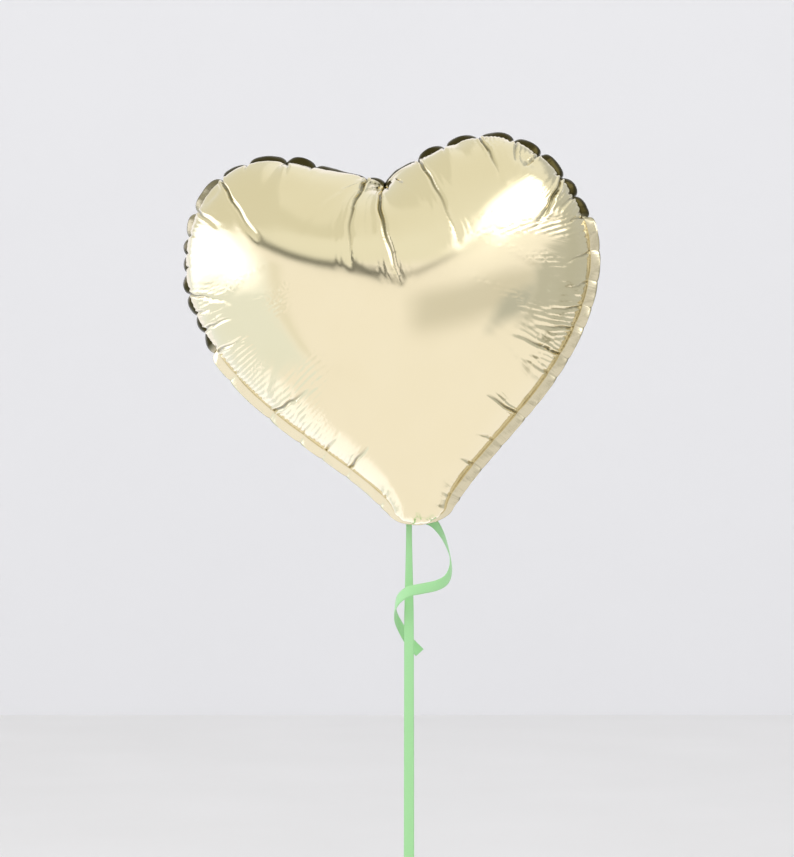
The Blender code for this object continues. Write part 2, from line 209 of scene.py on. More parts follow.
# ---------------------------------------------------------------- materials
def ribbon_material():
    """Mint polypropylene curling ribbon: satin, with fine ribs along it."""
    made, tree, shader = new_material("mint_ribbon_satin")
    strip = point_attribute(tree, "strip").outputs["Vector"]
    along = noise(tree, stretched(tree, strip, (40.0, 900.0, 1.0)), 1.0, 3.0)
    colour = blend_colours(tree, along, (0.35, 0.70, 0.31), (0.42, 0.80, 0.38))
    tree.links.new(colour, shader.inputs["Base Color"])
    tree.links.new(span(tree, along, 0.28, 0.42), shader.inputs["Roughness"])
    across = separated(tree, strip)["X"]
    turns = math_node(tree, "MULTIPLY", across, 2.0 * math.pi * RIBBON_RIBS)
    ribs = math_node(tree, "SINE", turns)
    ribbed = bump(tree, ribs, 0.00006)
    tree.links.new(bump(tree, along, 0.00004, under=ribbed), shader.inputs["Normal"])
    shader.inputs["Specular IOR Level"].default_value = 0.55
    shader.inputs["Sheen Weight"].default_value = 0.15
    shader.inputs["Anisotropic"].default_value = 0.5
    shader.inputs["Subsurface Weight"].default_value = 0.08
    shader.inputs["Subsurface Radius"].default_value = (0.002, 0.003, 0.002)
    return made


MINT = ribbon_material()


# ---------------------------------------------------------------- mesh helpers
def unit(rows):
    return rows / np.linalg.norm(rows, axis=-1, keepdims=True)


def smooth_route(knots, count):
    """Evenly spaced points of a smooth curve through the knots."""
    knots = np.array(knots)
    slopes = np.gradient(knots, axis=0)
    line = [knots[:1]]
    share = np.linspace(0.0, 1.0, 60)[1:, None]
    for first in range(len(knots) - 1):
        start, end = knots[first], knots[first + 1]
        leave, arrive = slopes[first], slopes[first + 1]
        line.append(
            start * (1 + 2 * share) * (1 - share) ** 2
            + leave * share * (1 - share) ** 2
            + end * share ** 2 * (3 - 2 * share)
            + arrive * share ** 2 * (share - 1)
        )
    return even_steps(np.concatenate(line), count)


def at_lengths(wanted, along, line):
    """Points of the line at the wanted lengths, given its own lengths along it."""
    return np.stack([np.interp(wanted, along, values) for values in line.T], axis=1)


def even_steps(line, count):
    """The line again with count points at equal spacing."""
    steps = np.linalg.norm(np.diff(line, axis=0), axis=1)
    along = np.concatenate([[0.0], np.cumsum(steps)])
    return at_lengths(np.linspace(0.0, along[-1], count), along, line)


def add_piece(name, points, faces, finish, body, attributes=None):
    """Mesh object that rides on a body; attributes are vectors for its points."""
    mesh = bpy.data.meshes.new(name)
    mesh.from_pydata(np.asarray(points).tolist(), [], [list(face) for face in faces])
    mesh.shade_smooth()
    mesh.materials.append(finish)
    for key, rows in (attributes or {}).items():
        layer = mesh.attributes.new(key, "FLOAT_VECTOR", "POINT")
        layer.data.foreach_set("vector", np.asarray(rows, dtype=np.float32).ravel())
    made = bpy.data.objects.new(name, mesh)
    bpy.context.collection.objects.link(made)
    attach(made, body)
    return made


def point_outwards(piece):
    shell = bmesh.new()
    shell.from_mesh(piece.data)
    bmesh.ops.recalc_face_normals(shell, faces=shell.faces)
    shell.to_mesh(piece.data)
    shell.free()


def tube_faces(stations, around, closed=False):
    """Faces of a tube through equal cross-sections, with its ends filled."""
    faces = []
    for station in range(stations if closed else stations - 1):
        onward = (station + 1) % stations
        for point in range(around):
            beside = (point + 1) % around
            corners = (station, point), (station, beside), (onward, beside), (onward, point)
            faces.append([row * around + column for row, column in corners])
    if not closed:
        faces.append(list(range(around)))
        faces.append(list(range((stations - 1) * around, stations * around)))
    return faces


def strip_piece(name, line, facing, widths, body, cup=0.0):
    """Thin ribbon along a line, its broad side turned to facing, slightly cupped."""
    along = unit(np.gradient(line, axis=0))
    across = unit(np.cross(along, facing))
    normal = np.cross(across, along)
    shares = np.linspace(-0.5, 0.5, 9)
    sections = []
    strip = []
    length = np.concatenate([[0.0], np.cumsum(np.linalg.norm(np.diff(line, axis=0), axis=1))])
    for side in (-0.5, 0.5):
        order = shares if side < 0.0 else shares[::-1]
        for share in order:
            lift = cup * (1.0 - 4.0 * share * share) * widths + side * RIBBON_THICK
            sections.append(line + across * (share * widths)[:, None] + normal * lift[:, None])
            strip.append(np.stack([np.full(len(line), share), length, np.zeros(len(line))], axis=1))
    points = np.stack(sections, axis=1)
    strip = np.stack(strip, axis=1)
    faces = tube_faces(len(line), 2 * len(shares))
    made = add_piece(name, points.reshape(-1, 3), faces, MINT, body, {"strip": strip.reshape(-1, 3)})
    point_outwards(made)
    return made


def taper(count, reach_share, start=True, end=False):
    """Ribbon widths that narrow towards the ends that enter a knot."""
    share = np.linspace(0.0, 1.0, count)
    reach = np.ones(count)
    if start:
        reach = np.minimum(reach, share / reach_share)
    if end:
        reach = np.minimum(reach, (1.0 - share) / reach_share)
    ease = reach * reach * (3.0 - 2.0 * reach)
    return RIBBON_GATHERED + (RIBBON_WIDTH - RIBBON_GATHERED) * ease


# ---------------------------------------------------------------- ribbon
def collar(height):
    """Last turn of a knot, round the strand that leaves it."""
    angle = 2.0 * math.pi * np.arange(COLLAR_STATIONS) / COLLAR_STATIONS
    section = 2.0 * math.pi * np.arange(COLLAR_AROUND) / COLLAR_AROUND
    radius = (COLLAR_RADIUS + COLLAR_THICK * np.cos(section))[None, :]
    rise = height + COLLAR_THICK * np.sin(section)[None, :] + 0.0002 * np.cos(angle)[:, None]
    turns = [radius * np.cos(angle)[:, None], radius * np.sin(angle)[:, None], rise]
    points = np.stack(np.broadcast_arrays(*turns), axis=2).reshape(-1, 3)
    strip = np.stack(np.broadcast_arrays(section[None, :] / 6.3, 0.003 * angle[:, None], 0.0), axis=2)
    return points, strip.reshape(-1, 3), tube_faces(COLLAR_STATIONS, COLLAR_AROUND, closed=True)


def knot_piece(name, place, body, replaced, turn):
    """Tight overhand knot: a flattened ribbon bundle along a trefoil."""
    count = 160
    angle = 2.0 * math.pi * np.arange(count) / count
    line = np.stack(
        [
            np.sin(angle) + 2.0 * np.sin(2.0 * angle),
            np.cos(angle) - 2.0 * np.cos(2.0 * angle),
            -1.3 * np.sin(3.0 * angle),
        ],
        axis=1,
    )
    line *= KNOT_RADIUS * 0.60 / 3.0
    along = unit(np.roll(line, -1, axis=0) - np.roll(line, 1, axis=0))
    facing = unit(line + 0.35 * KNOT_RADIUS * np.sin(2.0 * angle)[:, None])
    across = unit(np.cross(along, facing))
    normal = np.cross(across, along)
    around = 14
    section = 2.0 * math.pi * np.arange(around) / around
    fold = 1.0 + 0.16 * np.cos(3.0 * section[None, :] + 2.0 * angle[:, None])
    wide = (0.00215 * np.cos(section) * fold)[:, :, None] * across[:, None, :]
    deep = (0.00105 * np.sin(section) * fold)[:, :, None] * normal[:, None, :]
    points = (line[:, None, :] + wide + deep).reshape(-1, 3)
    reach = np.linalg.norm(points, axis=1).max()
    points *= KNOT_RADIUS / reach
    spin = np.array(Matrix.Rotation(turn, 3, "Z") @ Matrix.Rotation(math.radians(70.0), 3, "X"))
    points = points @ spin.T + place
    strip = np.stack(np.broadcast_arrays(section[None, :] / 6.3, 0.004 * angle[:, None], 0.0), axis=2)
    strip = strip.reshape(-1, 3)
    faces = tube_faces(count, around, closed=True)
    for height in (-COLLAR_HEIGHT, COLLAR_HEIGHT):
        ring, ring_strip, ring_faces = collar(height)
        faces += [[len(points) + corner for corner in face] for face in ring_faces]
        points = np.concatenate([points, ring + place])
        strip = np.concatenate([strip, ring_strip])
    made = add_piece(name, points, faces, MINT, body, {"strip": strip})
    point_outwards(made)
    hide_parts(replaced)
    return made


def add_knots():
    tie = knot_piece("tie_knot_wraps", TIE_KNOT, "knot", "tie_knot", math.radians(20.0))
    end = knot_piece("end_knot_wraps", END_KNOT, "anchor", "end_knot", math.radians(75.0))
    return tie, end


def loop_route():
    reach = KNOT_RADIUS + KNOT_GAP
    lean = math.radians(28.0)
    start_x = reach * math.sin(lean)
    start_z = END_KNOT[2] - reach * math.cos(lean)
    side_z = LOOP_BOTTOM + LOOP_HALF_WIDTH
    between = (0.8 * LOOP_HALF_WIDTH, 0.5 * (start_z + side_z))
    right = [(start_x, start_z), between, (LOOP_HALF_WIDTH, side_z)]
    arc = [math.radians(angle) for angle in (-30.0, -60.0)]
    right += [(LOOP_HALF_WIDTH * math.cos(a), side_z + LOOP_HALF_WIDTH * math.sin(a)) for a in arc]
    left = [(-x, z) for x, z in right[::-1]]
    return [(x, 0.0, z) for x, z in right + [(0.0, LOOP_BOTTOM)] + left]


def add_end_loop():
    count = 90
    line = smooth_route(loop_route(), count)
    middle = (0.0, 0.0, LOOP_BOTTOM + LOOP_HALF_WIDTH)
    widths = taper(count, 0.16, end=True)
    made = strip_piece("end_loop_ribbon", line, line - middle, widths, "loop", cup=0.04)
    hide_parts("end_loop")
    return made


def add_run(end_pieces):
    """Taut ribbon from the end knot up to the knot on the tail."""
    reach = KNOT_RADIUS + KNOT_GAP
    top = TIE_KNOT[2] - reach
    low = END_KNOT[2] + reach
    count = 160
    heights = np.linspace(top, low, count)
    line = np.stack([np.zeros(count), np.zeros(count), heights], axis=1)
    twist = math.radians(4.0) * np.sin((heights - low) * 14.0)
    facing = np.stack([np.sin(twist), -np.cos(twist), np.zeros(count)], axis=1)
    widths = taper(count, 0.30, start=True) * (1.0 - 0.10 * np.linspace(1.0, 0.0, count))
    widths = np.minimum(widths, taper(count, 0.05, end=True, start=False))
    made = strip_piece("ribbon_run_strip", line, facing, widths, "ribbon", cup=0.03)
    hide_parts("ribbon_run")
    return made


# Route of the loose end: down to the right, round in front of the taut
# ribbon, and back behind it on the left.
CURL_ROUTE = [
    (0.0033, 0.0050, 0.3770),
    (0.0110, 0.0112, 0.3768),
    (0.0205, 0.0100, 0.3745),
    (0.0290, 0.0065, 0.3645),
    (0.0360, 0.0010, 0.3500),
    (0.0395, -0.0060, 0.3350),
    (0.0370, -0.0140, 0.3240),
    (0.0290, -0.0200, 0.3185),
    (0.0160, -0.0230, 0.3155),
    (0.0030, -0.0215, 0.3125),
    (-0.0070, -0.0150, 0.3055),
    (-0.0120, -0.0050, 0.2965),
    (-0.0125, 0.0040, 0.2870),
    (-0.0085, 0.0110, 0.2760),
    (-0.0020, 0.0140, 0.2650),
    (0.0080, 0.0130, 0.2545),
]


def add_curl():
    """Loose curled end; its broad side faces away from the curl's axis."""
    count = 220
    line = smooth_route(CURL_ROUTE, count)
    facing = np.zeros_like(line)
    facing[:, :2] = line[:, :2] - CURL_AXIS
    widths = taper(count, 0.12)
    made = strip_piece("ribbon_curl_strip", line, facing, widths, "curl", cup=0.05)
    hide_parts("ribbon_curl")
    return made


tie_knot_piece, end_knot_piece = add_knots()
add_run([end_knot_piece, add_end_loop()])
add_curl()

# ---------------------------------------------------------------- film pattern
# Two flat films are welded along their edge and inflated. Lengths are in
# millimetres from here to the placing of the heart.
CUT_GUESS = (1.19, 1.10)        # flat cut against the inflated outline
CUT_ROUNDS = 7
COARSE = 12.0                   # mesh spacing while the cut is found
PRESSURE = 6e-4
SLACK_STIFFNESS = 0.02          # film in compression against film in tension
BENDING = 0.002
SPEED_KEPT = 0.985              # from one step of the motion to the next
PULL_SHARE = 0.22               # of each step's forces added to the speed
START_DEPTH = 8.0               # of each film when the inflation starts
OUTLINE_POINTS = 400
EDGE_POINTS = 240               # of the outline that the finished film follows


def seam_half():
    """Right half of the inflated seam, from the cleft round to the bottom."""
    curves = []
    for start, leaving, arriving, end in SEAM_CURVES:
        first = Vector((*start, 0.0))
        last = Vector((*end, 0.0))
        handle_a = first + Vector((*leaving, 0.0))
        handle_b = last - Vector((*arriving, 0.0))
        points = interpolate_bezier(first, handle_a, handle_b, last, 60)
        curves.append(np.array([point.to_2d() for point in points]))
    return even_steps(1000.0 * np.concatenate(curves), OUTLINE_POINTS)


def whole(half):
    """Closed outline, clockwise from the cleft, of its right half."""
    left = half[::-1] * (-1.0, 1.0)
    return np.concatenate([half, left[1:-1]])


def outwards(outline):
    """Unit vectors that point out of a clockwise closed outline."""
    along = unit(np.roll(outline, -1, axis=0) - np.roll(outline, 1, axis=0))
    return np.stack([-along[:, 1], along[:, 0]], axis=1)


def length_along(outline):
    steps = np.linalg.norm(np.roll(outline, -1, axis=0) - outline, axis=1)
    return np.concatenate([[0.0], np.cumsum(steps)])


def edge_distance(points, outline):
    """Distance of points to a closed outline, and how far along it that is."""
    best = np.full(len(points), 1e9)
    place = np.zeros(len(points))
    along = length_along(outline)
    for number, start in enumerate(outline):
        step = outline[(number + 1) % len(outline)] - start
        length = math.hypot(*step)
        share = np.clip((points - start) @ step / length ** 2, 0.0, 1.0)
        away = points - start - share[:, None] * step
        distance = np.hypot(away[:, 0], away[:, 1])
        nearer = distance < best
        best[nearer] = distance[nearer]
        place[nearer] = along[number] + share[nearer] * length
    return best, place


def is_inside(points, outline):
    inside = np.zeros(len(points), dtype=bool)
    for (x0, y0), (x1, y1) in zip(outline, np.roll(outline, -1, axis=0)):
        if y0 == y1:
            continue
        spans = (y0 > points[:, 1]) != (y1 > points[:, 1])
        crossing = (x1 - x0) * (points[:, 1] - y0) / (y1 - y0) + x0
        inside ^= spans & (points[:, 0] < crossing)
    return inside


def lattice(outline, spacing):
    """Triangular lattice of points inside an outline, clear of its edge."""
    reach = math.ceil(outline[:, 0].max() / spacing + 1.0)
    heights = np.arange(outline[:, 1].min(), outline[:, 1].max(), spacing * math.sqrt(0.75))
    rows = []
    for number, height in enumerate(heights):
        shift = 0.5 * (number % 2)
        across = (np.arange(-reach, reach + 1) + shift) * spacing
        rows.append(np.stack([across, np.full_like(across, height)], axis=1))
    points = np.concatenate(rows)
    distance, _ = edge_distance(points, outline)
    return points[is_inside(points, outline) & (distance > 0.62 * spacing)]


def cut_mesh(half, spacing):
    """Flat points and triangles of one film; its welded edge comes first."""
    length = np.linalg.norm(np.diff(half, axis=0), axis=1).sum()
    edge = whole(even_steps(half, int(round(length / spacing)) + 1))
    points = np.concatenate([edge, lattice(edge, spacing)])
    rim = [(number, (number + 1) % len(edge)) for number in range(len(edge))]
    made = delaunay_2d_cdt([Vector(point) for point in points], rim, [], 1, 1e-6)
    order = np.array([sources[0] for sources in made[3]])
    faces = order[np.array([face for face in made[2] if len(face) == 3])]
    a, b, c = (points[faces[:, corner]] for corner in range(3))
    turn = (b[:, 0] - a[:, 0]) * (c[:, 1] - a[:, 1]) - (b[:, 1] - a[:, 1]) * (c[:, 0] - a[:, 0])
    faces[turn < 0.0] = faces[turn < 0.0][:, ::-1]
    return points, faces[np.abs(turn) > 1e-3], len(edge)


def two_films(half, spacing):
    """Flat points, inflation start, and the triangles of both films, which share the edge."""
    points, faces, edge = cut_mesh(half, spacing)
    inner = len(points) - edge
    flat = np.concatenate([points, points[edge:]])
    back = faces.copy()
    back[back >= edge] += inner
    start = np.zeros((len(flat), 3))
    start[:, 0] = flat[:, 0]
    start[:, 2] = flat[:, 1]
    start[edge:edge + inner, 1] = -START_DEPTH
    start[edge + inner:, 1] = START_DEPTH
    return flat, start, [faces, back[:, ::-1]], edge


# ---------------------------------------------------------------- inflation
def side_edges(faces):
    """Each edge of each triangle, in the order ab, bc, ca, and its far corner."""
    edges = np.concatenate([faces[:, [0, 1]], faces[:, [1, 2]], faces[:, [2, 0]]])
    return np.sort(edges, axis=1), np.concatenate([faces[:, 2], faces[:, 0], faces[:, 1]])


def cotangent(flat, corner, left, right):
    to_left = flat[left] - flat[corner]
    to_right = flat[right] - flat[corner]
    twice_area = np.abs(to_left[:, 0] * to_right[:, 1] - to_left[:, 1] * to_right[:, 0])
    return (to_left * to_right).sum(axis=1) / np.maximum(twice_area, 1e-9)


def hinges(flat, faces):
    """Pairs of triangles as edge and far corners, and their bending weights."""
    edges, far = side_edges(faces)
    _, which = np.unique(edges, axis=0, return_inverse=True)
    order = np.argsort(which.reshape(-1), kind="stable")
    first, second = order[:-1], order[1:]
    paired = which.reshape(-1)[first] == which.reshape(-1)[second]
    first, second = first[paired], second[paired]
    a, b = edges[first].T
    c, d = far[first], far[second]
    at_a = cotangent(flat, a, b, c), cotangent(flat, a, b, d)
    at_b = cotangent(flat, b, a, c), cotangent(flat, b, a, d)
    on_edge = [at_b[0] + at_b[1], at_a[0] + at_a[1]]
    on_corners = [-(at_a[0] + at_b[0]), -(at_a[1] + at_b[1])]
    weights = np.stack(on_edge + on_corners, axis=1)
    weights *= np.minimum(1.0, 2.5 / np.abs(weights).max(axis=1))[:, None]
    return np.stack([a, b, c, d], axis=1), weights


def add_rows(totals, targets, rows):
    """Add each row to the total of its target point."""
    for axis in range(3):
        totals[:, axis] += np.bincount(targets, rows[:, axis], len(totals))


class Envelope:
    """The welded films as springs, hinges and a pressure, at one fineness."""

    def __init__(self, flat, films):
        self.faces = np.concatenate(films)
        self.edges = np.unique(side_edges(self.faces)[0], axis=0)
        self.lengths = np.linalg.norm(flat[self.edges[:, 0]] - flat[self.edges[:, 1]], axis=1)
        parts = [hinges(flat, film) for film in films]
        self.hinges = np.concatenate([part[0] for part in parts])
        self.weights = np.concatenate([part[1] for part in parts])

    def forces(self, placed):
        pulls = np.zeros_like(placed)
        start, end = self.edges.T
        along = placed[end] - placed[start]
        length = np.sqrt((along * along).sum(axis=1))
        stretch = length - self.lengths
        stiffness = np.where(stretch > 0.0, 1.0, SLACK_STIFFNESS)
        tension = (stiffness * stretch / np.maximum(length, 1e-9))[:, None] * along
        add_rows(pulls, start, tension)
        add_rows(pulls, end, -tension)
        bend = sum(self.weights[:, k, None] * placed[self.hinges[:, k]] for k in range(4)) * BENDING
        for corner in range(4):
            add_rows(pulls, self.hinges[:, corner], -bend * self.weights[:, corner, None])
        a, b, c = (placed[self.faces[:, corner]] for corner in range(3))
        push = np.cross(b - a, c - a) * (PRESSURE / 6.0)
        for corner in range(3):
            add_rows(pulls, self.faces[:, corner], push)
        return pulls

    def settle(self, placed, steps):
        """Damped motion towards rest."""
        speed = np.zeros_like(placed)
        for _ in range(steps):
            speed = np.clip(SPEED_KEPT * speed + PULL_SHARE * self.forces(placed), -1.0, 1.0)
            placed = placed + speed
        return placed


def smoothed(half, width):
    """Half outline averaged over a window, mirrored at both ends."""
    window = np.hanning(width + 2)[1:-1]
    window /= window.sum()
    before = half[1:width + 1][::-1] * (-1.0, 1.0)
    after = half[-width - 1:-1][::-1] * (-1.0, 1.0)
    padded = np.concatenate([before, half, after])
    made = np.stack([np.convolve(padded[:, axis], window, "same") for axis in (0, 1)], axis=1)
    made = made[width:-width]
    made[[0, -1], 0] = 0.0
    return made


def inflated_half(placed, edge):
    """Right half of the inflated seam, averaged with the mirrored left half."""
    seam = placed[:edge][:, [0, 2]]
    middle = edge // 2
    right = seam[:middle + 1]
    left = np.concatenate([seam[:1], seam[middle:][::-1]]) * (-1.0, 1.0)
    stations = np.linspace(0.0, middle, OUTLINE_POINTS)
    numbers = np.arange(middle + 1)
    return np.mean([at_lengths(stations, numbers, side) for side in (right, left)], axis=0)


def centred(half):
    """Half outline moved so that its height is centred on zero."""
    return half - (0.0, (half[:, 1].max() + half[:, 1].min()) / 2.0)


def find_cut(target):
    """Flat half cut whose inflated seam has the target outline."""
    cut = target * CUT_GUESS
    for _ in range(CUT_ROUNDS):
        flat, placed, films, edge = two_films(cut, COARSE)
        placed = Envelope(flat, films).settle(placed, 400)
        error = target - centred(inflated_half(placed, edge))
        cut = even_steps(smoothed(cut + 0.9 * smoothed(error, 21), 7), OUTLINE_POINTS)
    return cut, flat, placed, films


def refined(flat, placed, films, marked):
    """Split the marked edges in half, and the triangles on them to match."""
    edges, which = np.unique(side_edges(np.concatenate(films))[0], axis=0, return_inverse=True)
    split = marked[edges].all(axis=1)
    middles = np.full(len(edges), -1)
    middles[split] = len(flat) + np.arange(split.sum())
    sides = middles[which.reshape(3, -1)].T
    finer = []
    done = 0
    for film in films:
        finer.append(split_faces(film, sides[done:done + len(film)]))
        done += len(film)
    flat = np.concatenate([flat, flat[edges[split]].mean(axis=1)])
    placed = np.concatenate([placed, placed[edges[split]].mean(axis=1)])
    return flat, placed, finer


def split_faces(faces, sides):
    """Triangles again, after their sides got middles; -1 is a side without one."""
    made = [faces[(sides < 0).all(axis=1)]]
    for turn in range(3):
        a, b, c = (faces[:, (corner + turn) % 3] for corner in range(3))
        ab, bc, ca = (sides[:, (corner + turn) % 3] for corner in range(3))
        one = (ab >= 0) & (bc < 0) & (ca < 0)
        two = (ab >= 0) & (bc >= 0) & (ca < 0)
        made.append(np.stack([a, ab, c], axis=1)[one])
        made.append(np.stack([ab, b, c], axis=1)[one])
        made.append(np.stack([ab, b, bc], axis=1)[two])
        made.append(np.stack([a, ab, bc], axis=1)[two])
        made.append(np.stack([a, bc, c], axis=1)[two])
    whole_split = (sides >= 0).all(axis=1)
    a, b, c = faces[whole_split].T
    ab, bc, ca = sides[whole_split].T
    for corners in ((a, ab, ca), (ab, b, bc), (ca, bc, c), (ab, bc, ca)):
        made.append(np.stack(corners, axis=1))
    return np.concatenate(made)


def evened(placed, films, held, rounds):
    """Average every free point with its neighbours."""
    start, end = np.unique(side_edges(np.concatenate(films))[0], axis=0).T
    count = np.bincount(start, minlength=len(placed)) + np.bincount(end, minlength=len(placed))
    for _ in range(rounds):
        around = np.zeros_like(placed)
        add_rows(around, start, placed[end])
        add_rows(around, end, placed[start])
        mean = around / np.maximum(count, 1)[:, None]
        placed = np.where(held[:, None], placed, 0.5 * placed + 0.5 * mean)
    return placed


# ---------------------------------------------------------------- pleats
# A pleat runs inwards from the weld. Each is the share of the half seam from
# the cleft to the bottom, the slant in degrees towards the bottom's side, the
# reach and the depth in millimetres, and how many fine ripples lie beside it.
# The places, slants and reaches follow the photograph's creases. A separate
# script cast the ends of those creases onto the inflated film, and its results
# were entered here, some of them changed by hand.
RIGHT_PLEATS = [
    (0.0, 8, 160, 2.6, 1),
    (0.086, -4, 152, 1.8, 2),
    (0.138, 0, 50, 1.3, 0),
    (0.192, 10, 92, 1.9, 2),
    (0.247, 16, 62, 1.4, 3),
    (0.293, 8, 60, 1.4, 1),
    (0.342, 24, 98, 2.5, 2),
    (0.377, 14, 56, 1.3, 0),
    (0.414, 12, 58, 1.1, 1),
    (0.468, 24, 62, 1.1, 1),
    (0.515, 26, 60, 0.9, 2),
    (0.556, 28, 74, 1.2, 3),
    (0.59, 22, 70, 1.2, 3),
    (0.644, 12, 76, 1.8, 3),
    (0.678, 8, 50, 1.0, 0),
    (0.76, 9, 66, 1.8, 2),
    (0.818, 14, 44, 1.0, 0),
    (0.868, 10, 32, 1.1, 1),
    (0.929, 0, 22, 0.6, 0),
]
LEFT_PLEATS = [
    (0.034, -18, 150, 1.9, 2),
    (0.113, -8, 40, 1.0, 0),
    (0.16, -14, 56, 1.5, 0),
    (0.222, 0, 44, 1.2, 0),
    (0.268, 5, 126, 2.1, 1),
    (0.335, 8, 74, 1.5, 2),
    (0.377, 6, 46, 1.2, 0),
    (0.406, 4, 40, 1.1, 0),
    (0.435, 6, 44, 1.2, 0),
    (0.469, 20, 96, 1.5, 2),
    (0.505, 18, 70, 1.2, 2),
    (0.535, 18, 92, 1.5, 3),
    (0.57, 22, 86, 1.4, 3),
    (0.62, 16, 50, 0.8, 0),
    (0.705, 24, 96, 1.9, 3),
    (0.765, 14, 50, 0.8, 0),
    (0.808, 16, 60, 1.1, 1),
    (0.856, 15, 74, 1.7, 2),
    (0.93, 0, 30, 0.9, 1),
]
# Fine parallel striations: side, from and to as shares of the half seam, slant
# in degrees, then wavelength, height and reach in millimetres.
STRIATIONS = [
    (1, 0.195, 0.255, 12, 4.5, 0.40, 66),
    (1, 0.36, 0.47, 24, 6.0, 0.60, 108),
    (1, 0.50, 0.64, 27, 6.5, 0.34, 84),
    (-1, 0.35, 0.46, 12, 6.0, 0.16, 60),
    (-1, 0.475, 0.56, 22, 6.5, 0.26, 90),
    (-1, 0.565, 0.70, 24, 5.5, 0.38, 120),
    (-1, 0.71, 0.85, 20, 5.5, 0.30, 100),
]
# Shallow dents beside the seam: side, share of the half seam, distance from
# the weld, half length along it, half width, and depth.
DENTS = [
    (1, 0.300, 36, 17, 11, 3.2),
    (-1, 0.305, 32, 16, 11, 2.2),
]
FRINGE_WAVE = 4.6               # ripples at the foot of the longest pleats
FRINGE_RISE = 0.16
STRIATION_EDGE = 0.02           # share of the half seam over which they set in
PLEAT_WIDTH = 1.15
NOTCH_WIDTH = 3.4
NOTCH_DEPTH = 2.6
NOTCH_REACH = 14.0
CROWN_RISE = 0.6                # how far the seam swells between notches
# How deep the notches are, against the share of the whole seam: the margin
# is gathered over the lobes and lies nearly straight along the flanks.
GATHERING = [
    (0.0, 1.0),
    (0.20, 1.0),
    (0.215, 0.16),
    (0.50, 0.08),
    (0.69, 0.16),
    (0.725, 0.9),
    (1.0, 1.0),
]
CLEFT_SHIFT = (8.0, 9.0)        # how the pucker moves the seam in the cleft
CLEFT_SPREAD = 28.0
CLEFT_GROOVE = 5.5
FINE_BAND = 22.0                # the mesh is finest this near to the weld
FINE_RELIEF = 0.02              # and wherever the pleats are higher than this
FINEST_RELIEF = 0.30            # halved once more on the sharpest creases


def seam_pleats():
    """Every pleat with its place as a share of the whole seam, and its side."""
    right = [(share / 2.0, 1.0, *rest) for share, *rest in RIGHT_PLEATS]
    left = [((1.0 - share / 2.0) % 1.0, -1.0, *rest) for share, *rest in LEFT_PLEATS]
    return right + left


def pleat_height(flat, outline, changes):
    """Height of all pleats over the film; changes are (reach, depth) factors."""
    along = length_along(outline)
    normals = outwards(outline)
    height = np.zeros(len(flat))
    for number, (share, side, slant, reach, depth, ripples) in enumerate(seam_pleats()):
        station = share * along[-1]
        near = min(int(np.searchsorted(along, station)), len(outline) - 1)
        turn = side * math.radians(slant)
        out = normals[near]
        run = -np.array([
            out[0] * math.cos(turn) - out[1] * math.sin(turn),
            out[0] * math.sin(turn) + out[1] * math.cos(turn),
        ])
        reach *= changes[number, 0]
        depth *= changes[number, 1]
        away = flat - outline[near]
        inward = away @ run
        close = (inward > -12.0) & (inward < reach)
        inward = inward[close]
        across = away[close] @ (-run[1], run[0]) + 0.5 * np.sin(inward / 5.3 + 5.0 * number)
        width = PLEAT_WIDTH * (1.0 + 0.012 * np.clip(inward, 0.0, None))
        fade = 1.0 - np.clip(inward / reach, 0.0, 1.0) ** 1.6
        fade *= np.clip(1.0 + inward / 12.0, 0.0, 1.0)
        valley = -np.exp(-((across / width) ** 2))
        crest = 0.42 * np.exp(-(((np.abs(across) - 2.2 * width) / (1.2 * width)) ** 2))
        shape = valley + crest
        if ripples:
            wave = 4.6 + 0.02 * np.clip(inward, 0.0, None)
            beside = np.exp(-((across / (ripples * wave)) ** 2))
            shape -= 0.20 * np.cos(2.0 * math.pi * across / wave) * beside
        height[close] += depth * fade * shape
        if reach > 130.0:
            foot = np.exp(-(((inward - reach + 24.0) / 12.0) ** 2) - (across / 12.0) ** 2)
            height[close] -= FRINGE_RISE * np.cos(2.0 * math.pi * across / FRINGE_WAVE) * foot
    return height


def dent_height(place, distance, total):
    """Broad shallow dents between the pleats."""
    height = np.zeros(len(place))
    for side, share, inward, long, wide, depth in DENTS:
        station = total * (share / 2.0 if side > 0 else 1.0 - share / 2.0)
        bowl = -(((place - station) / long) ** 2) - ((distance - inward) / wide) ** 2
        height -= depth * np.exp(bowl)
    return height


def striation_height(place, distance, total, seed):
    """Fine ripples that run in from the weld at a slant."""
    height = np.zeros(len(place))
    drift = np.random.default_rng(seed).uniform(0.0, 2.0 * math.pi, (len(STRIATIONS), 3))
    for (side, start, stop, slant, wave, rise, reach), phase in zip(STRIATIONS, drift):
        half_share = place / total * 2.0
        half_share = half_share if side > 0 else 2.0 - half_share
        inside = np.clip((half_share - start) / STRIATION_EDGE, 0.0, 1.0)
        inside *= np.clip((stop - half_share) / STRIATION_EDGE, 0.0, 1.0)
        across = place - side * math.tan(math.radians(slant)) * distance
        wander = 1.6 * np.sin(place / 23.0 + phase[0]) + 1.1 * np.sin(place / 9.0 + phase[1])
        wander += 0.5 * np.sin(distance / 11.0 + place / 15.0 + phase[2])
        local = reach * (0.75 + 0.35 * np.sin(place / 13.0 + phase[1]))
        fade = np.exp(-((distance / local) ** 2)) * np.clip(distance / 12.0, 0.0, 1.0)
        height += rise * inside * fade * np.sin(2.0 * math.pi * across / wave + wander)
    return height


def notches(place, total):
    """0 on the crown of a scallop to 1 in the notch of a strong pleat."""
    deepest = np.zeros(len(place))
    for share, _, _, _, depth, _ in seam_pleats():
        gap = np.abs(place - share * total)
        gap = np.minimum(gap, total - gap)
        deepest = np.maximum(deepest, min(1.0, 0.5 + depth / 3.0) * np.exp(-gap / NOTCH_WIDTH))
    return deepest * np.interp(place / total, *zip(*GATHERING))


